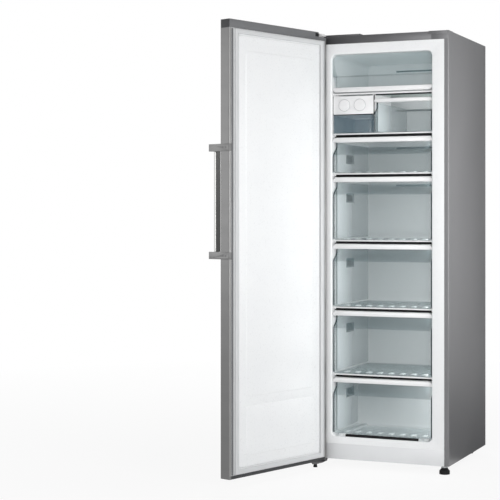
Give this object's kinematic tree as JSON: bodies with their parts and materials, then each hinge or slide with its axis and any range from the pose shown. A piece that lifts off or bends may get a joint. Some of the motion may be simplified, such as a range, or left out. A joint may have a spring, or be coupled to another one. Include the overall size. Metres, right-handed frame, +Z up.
{
  "type": "upright freezer",
  "caption": "Tall upright freezer with a hinged steel door, offset bar handle and small display, white liner, glass shelves, clear drawers, a top flap and a twist ice maker.",
  "frame": {"origin": "on the floor, at mid width, in the plane of the cabinet's front face", "axes": "+Z up, +Y from the front to the back, +X to the right seen from the front; the door hangs on the left and rests open"},
  "size_m": [0.8334, 1.1821, 1.855],
  "materials": {
    "coated_steel": "satin",
    "zinc_steel": "matte",
    "apron_paint": "satin",
    "foam": "matte",
    "white_liner": "satin",
    "white_moulding": "satin",
    "shelf_glass": "gloss",
    "clear_blue": "gloss",
    "clear_teal": "gloss",
    "ice_blue": "gloss",
    "tray_plastic": "satin",
    "stainless": "satin",
    "bright_steel": "polished",
    "grey_cap": "satin",
    "gasket_grey": "matte",
    "black_glass": "gloss",
    "circuit": "satin",
    "hinge_steel": "satin",
    "black_plastic": "matte",
    "black_rubber": "matte",
    "black_paint": "satin",
    "fin_metal": "satin",
    "motor_metal": "satin",
    "grey_plastic": "matte"
  },
  "bodies": {
    "cabinet": {"cabinet_shell": "coated_steel", "back_panel": "zinc_steel", "insulation_foam": "foam", "inner_liner": "white_liner", "front_apron": "apron_paint", "base_frame": "zinc_steel", "compressor": "black_paint", "compressor_mounts": "black_rubber", "condenser": "black_paint", "fan_motors": "motor_metal", "drip_tray": "black_plastic", "rear_cover": "black_plastic", "evaporator": "fin_metal", "defrost_heater": "fin_metal", "duct_panel": "white_moulding", "shelf_panels": "shelf_glass", "shelf_trims": "white_moulding", "top_hinge": "hinge_steel", "hinge_covers": "grey_cap", "bottom_hinge": "hinge_steel", "ice_maker_housing": "white_moulding", "control_box": "grey_plastic", "cable_gland": "black_rubber"},
    "door": {"door_skin": "stainless", "door_foam": "foam", "door_liner": "white_liner", "door_gasket": "gasket_grey", "door_top_cap": "grey_cap", "door_bottom_cap": "grey_cap", "display_window": "black_glass", "display_circuit": "circuit", "handle_bar": "bright_steel", "handle_bracket_upper": "stainless", "handle_bracket_lower": "stainless", "handle_screws": "bright_steel"},
    "drawer_1": {"drawer_1_bin": "clear_blue", "drawer_1_grip": "white_moulding"},
    "drawer_2": {"drawer_2_bin": "clear_blue", "drawer_2_grip": "white_moulding"},
    "drawer_3": {"drawer_3_bin": "clear_blue", "drawer_3_grip": "white_moulding"},
    "drawer_4": {"drawer_4_bin": "clear_blue", "drawer_4_grip": "white_moulding"},
    "drawer_5": {"drawer_5_bin": "clear_blue", "drawer_5_grip": "white_moulding"},
    "small_drawer": {"small_drawer_bin": "clear_blue", "small_drawer_grip": "white_moulding"},
    "ice_bin": {"ice_bin": "ice_blue"},
    "flap": {"flap_panel": "clear_teal", "flap_grip": "white_moulding"},
    "ice_tray_left": {"ice_tray_left": "tray_plastic", "ice_knob_left": "white_moulding"},
    "ice_tray_right": {"ice_tray_right": "tray_plastic", "ice_knob_right": "white_moulding"},
    "foot_left": {"foot_left": "black_plastic"},
    "foot_right": {"foot_right": "black_plastic"},
    "roller_left": {"roller_left": "black_plastic"},
    "roller_right": {"roller_right": "black_plastic"},
    "condenser_fan": {"condenser_fan": "black_plastic"},
    "evaporator_fan": {"evaporator_fan": "black_plastic"}
  },
  "joints": [
    {"name": "door_swing", "type": "hinge", "parent": "cabinet", "child": "door", "pos_m": [-0.2725, -0.036, 0.943], "axis": [0, 0, -1], "range_deg": [-108.5, 6.5]},
    {"name": "drawer_1_slide", "type": "slide", "parent": "cabinet", "child": "drawer_1", "axis": [0, -1, 0], "range_m": [0, 0.35]},
    {"name": "drawer_2_slide", "type": "slide", "parent": "cabinet", "child": "drawer_2", "axis": [0, -1, 0], "range_m": [0, 0.35]},
    {"name": "drawer_3_slide", "type": "slide", "parent": "cabinet", "child": "drawer_3", "axis": [0, -1, 0], "range_m": [0, 0.35]},
    {"name": "drawer_4_slide", "type": "slide", "parent": "cabinet", "child": "drawer_4", "axis": [0, -1, 0], "range_m": [0, 0.35]},
    {"name": "drawer_5_slide", "type": "slide", "parent": "cabinet", "child": "drawer_5", "axis": [0, -1, 0], "range_m": [0, 0.24]},
    {"name": "small_drawer_slide", "type": "slide", "parent": "cabinet", "child": "small_drawer", "axis": [0, -1, 0], "range_m": [0, 0.35]},
    {"name": "ice_bin_slide", "type": "slide", "parent": "cabinet", "child": "ice_bin", "axis": [0, -1, 0], "range_m": [0, 0.2]},
    {"name": "flap_swing", "type": "hinge", "parent": "cabinet", "child": "flap", "pos_m": [0, 0.017, 1.739], "axis": [-1, 0, 0], "range_deg": [0, 90]},
    {"name": "ice_tray_left_twist", "type": "hinge", "parent": "cabinet", "child": "ice_tray_left", "pos_m": [-0.171, 0.133, 1.5475], "axis": [0, 1, 0], "range_deg": [0, 150], "stiffness_Nm_per_rad": 0.08},
    {"name": "ice_tray_right_twist", "type": "hinge", "parent": "cabinet", "child": "ice_tray_right", "pos_m": [-0.101, 0.133, 1.5475], "axis": [0, 1, 0], "range_deg": [0, 150], "stiffness_Nm_per_rad": 0.08},
    {"name": "foot_left_turn", "type": "hinge", "parent": "cabinet", "child": "foot_left", "pos_m": [-0.284, -0.036, 0.0175], "axis": [0, 0, 1], "continuous": true},
    {"name": "foot_right_turn", "type": "hinge", "parent": "cabinet", "child": "foot_right", "pos_m": [0.272, 0.024, 0.0175], "axis": [0, 0, 1], "continuous": true},
    {"name": "roller_left_spin", "type": "hinge", "parent": "cabinet", "child": "roller_left", "pos_m": [-0.2405, 0.543, 0.015], "axis": [1, 0, 0], "continuous": true},
    {"name": "roller_right_spin", "type": "hinge", "parent": "cabinet", "child": "roller_right", "pos_m": [0.2405, 0.543, 0.015], "axis": [1, 0, 0], "continuous": true},
    {"name": "condenser_fan_spin", "type": "hinge", "parent": "cabinet", "child": "condenser_fan", "pos_m": [-0.06, 0.48, 0.1045], "axis": [1, 0, 0], "continuous": true},
    {"name": "evaporator_fan_spin", "type": "hinge", "parent": "cabinet", "child": "evaporator_fan", "pos_m": [0, 0.498, 1.4906], "axis": [0, 1, 0], "continuous": true}
  ]
}
